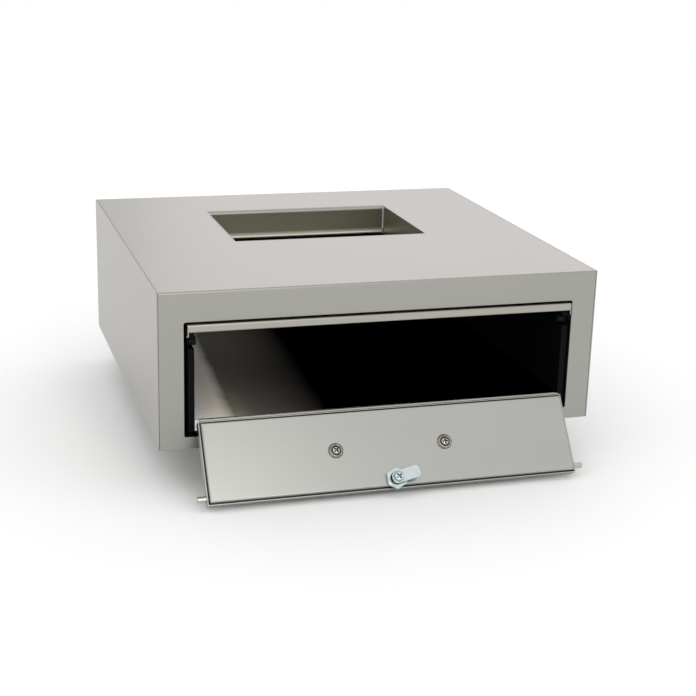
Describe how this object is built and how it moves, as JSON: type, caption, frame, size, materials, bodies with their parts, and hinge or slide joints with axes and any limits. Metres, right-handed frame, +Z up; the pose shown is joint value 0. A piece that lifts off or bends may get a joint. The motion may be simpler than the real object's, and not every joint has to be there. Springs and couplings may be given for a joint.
{
  "type": "deposit drawer",
  "caption": "Stainless steel bank teller deposit drawer with a top slot, a sliding drawer and a bottom-hinged lockable front flap.",
  "frame": {"origin": "centre of the four mounting holes on the underside of the casing's base", "axes": "+Z up; the drawer's front faces -Y and the drawer slides out along -Y; +X to the right of a person who faces the front from -Y, so that X runs across the drawer"},
  "size_m": [0.45, 0.5036, 0.1996],
  "materials": {
    "brushed_stainless": "satin, lightly brushed",
    "satin_stainless": "smooth satin",
    "black_coated_steel": "fine textured black coating",
    "black_rubber": "moulded, matt",
    "zinc_plated_steel": "bright zinc plated",
    "plated_zinc": "nickel plated",
    "nickel_plated_steel": "nickel plated",
    "stainless_fittings": "plain"
  },
  "bodies": {
    "casing": {"casing_wrap": "brushed_stainless", "side_panel_left": "brushed_stainless", "side_panel_right": "brushed_stainless", "back_panel": "brushed_stainless", "base_panel": "brushed_stainless", "slot_collar": "brushed_stainless", "slide_spacer_left": "zinc_plated_steel", "slide_spacer_right": "zinc_plated_steel", "slide_fixed_rail_left": "zinc_plated_steel", "slide_fixed_rail_right": "zinc_plated_steel", "slide_rivets": "zinc_plated_steel", "back_screws": "nickel_plated_steel", "rear_bumpers": "black_rubber"},
    "drawer": {"drawer_tray": "black_coated_steel", "drawer_back": "black_coated_steel", "drawer_back_rivets": "stainless_fittings", "drawer_floor": "brushed_stainless", "drawer_top_rail": "brushed_stainless", "top_rail_rivets": "stainless_fittings", "buffer_left": "black_rubber", "buffer_right": "black_rubber", "buffer_screws": "nickel_plated_steel", "slide_drawer_rail_left": "zinc_plated_steel", "slide_drawer_rail_right": "zinc_plated_steel", "drawer_rail_screws": "nickel_plated_steel", "hinge_fixed_leaf": "stainless_fittings", "hinge_pin": "stainless_fittings", "hinge_rivets_drawer": "stainless_fittings"},
    "flap": {"flap_outer_pan": "satin_stainless", "flap_inner_cover": "satin_stainless", "flap_pin_left": "stainless_fittings", "flap_pin_right": "stainless_fittings", "hinge_flap_leaf": "stainless_fittings", "hinge_rivets_flap": "stainless_fittings", "pull_handle": "nickel_plated_steel", "handle_screws": "nickel_plated_steel", "handle_cup_washers": "nickel_plated_steel", "handle_spacers": "stainless_fittings", "lock_barrel": "plated_zinc", "lock_nut": "plated_zinc"},
    "lock": {"lock_plug": "plated_zinc", "lock_cam": "plated_zinc", "lock_cam_washer": "plated_zinc", "lock_cam_screw": "plated_zinc"},
    "middle_slide_left": {"slide_middle_rail_left": "zinc_plated_steel"},
    "outer_cage_left": {"slide_outer_cage_left": "zinc_plated_steel"},
    "inner_cage_left": {"slide_inner_cage_left": "zinc_plated_steel"},
    "middle_slide_right": {"slide_middle_rail_right": "zinc_plated_steel"},
    "outer_cage_right": {"slide_outer_cage_right": "zinc_plated_steel"},
    "inner_cage_right": {"slide_inner_cage_right": "zinc_plated_steel"}
  },
  "joints": [
    {"name": "drawer_slide", "type": "slide", "parent": "casing", "child": "drawer", "axis": [0, -1, 0], "range_m": [0, 0.33]},
    {"name": "middle_slide_left_travel", "type": "slide", "parent": "casing", "child": "middle_slide_left", "axis": [0, -1, 0], "range_m": [0, 0.165]},
    {"name": "outer_cage_left_travel", "type": "slide", "parent": "casing", "child": "outer_cage_left", "axis": [0, -1, 0], "range_m": [0, 0.0825]},
    {"name": "inner_cage_left_travel", "type": "slide", "parent": "casing", "child": "inner_cage_left", "axis": [0, -1, 0], "range_m": [0, 0.2475]},
    {"name": "middle_slide_right_travel", "type": "slide", "parent": "casing", "child": "middle_slide_right", "axis": [0, -1, 0], "range_m": [0, 0.165]},
    {"name": "outer_cage_right_travel", "type": "slide", "parent": "casing", "child": "outer_cage_right", "axis": [0, -1, 0], "range_m": [0, 0.0825]},
    {"name": "inner_cage_right_travel", "type": "slide", "parent": "casing", "child": "inner_cage_right", "axis": [0, -1, 0], "range_m": [0, 0.2475]},
    {"name": "flap_hinge", "type": "hinge", "parent": "drawer", "child": "flap", "pos_m": [0, -0.2195, 0.0287], "axis": [-1, 0, 0], "range_deg": [0, 144]},
    {"name": "lock_turn", "type": "hinge", "parent": "flap", "child": "lock", "pos_m": [-0.0022, -0.26417, -0.03279], "axis": [0, 0.809, -0.5878], "range_deg": [0, 90]}
  ],
  "couplings": [
    {"joint": "middle_slide_left_travel", "follows": "drawer_slide", "ratio": 0.5},
    {"joint": "outer_cage_left_travel", "follows": "drawer_slide", "ratio": 0.25},
    {"joint": "inner_cage_left_travel", "follows": "drawer_slide", "ratio": 0.75},
    {"joint": "middle_slide_right_travel", "follows": "drawer_slide", "ratio": 0.5},
    {"joint": "outer_cage_right_travel", "follows": "drawer_slide", "ratio": 0.25},
    {"joint": "inner_cage_right_travel", "follows": "drawer_slide", "ratio": 0.75}
  ]
}
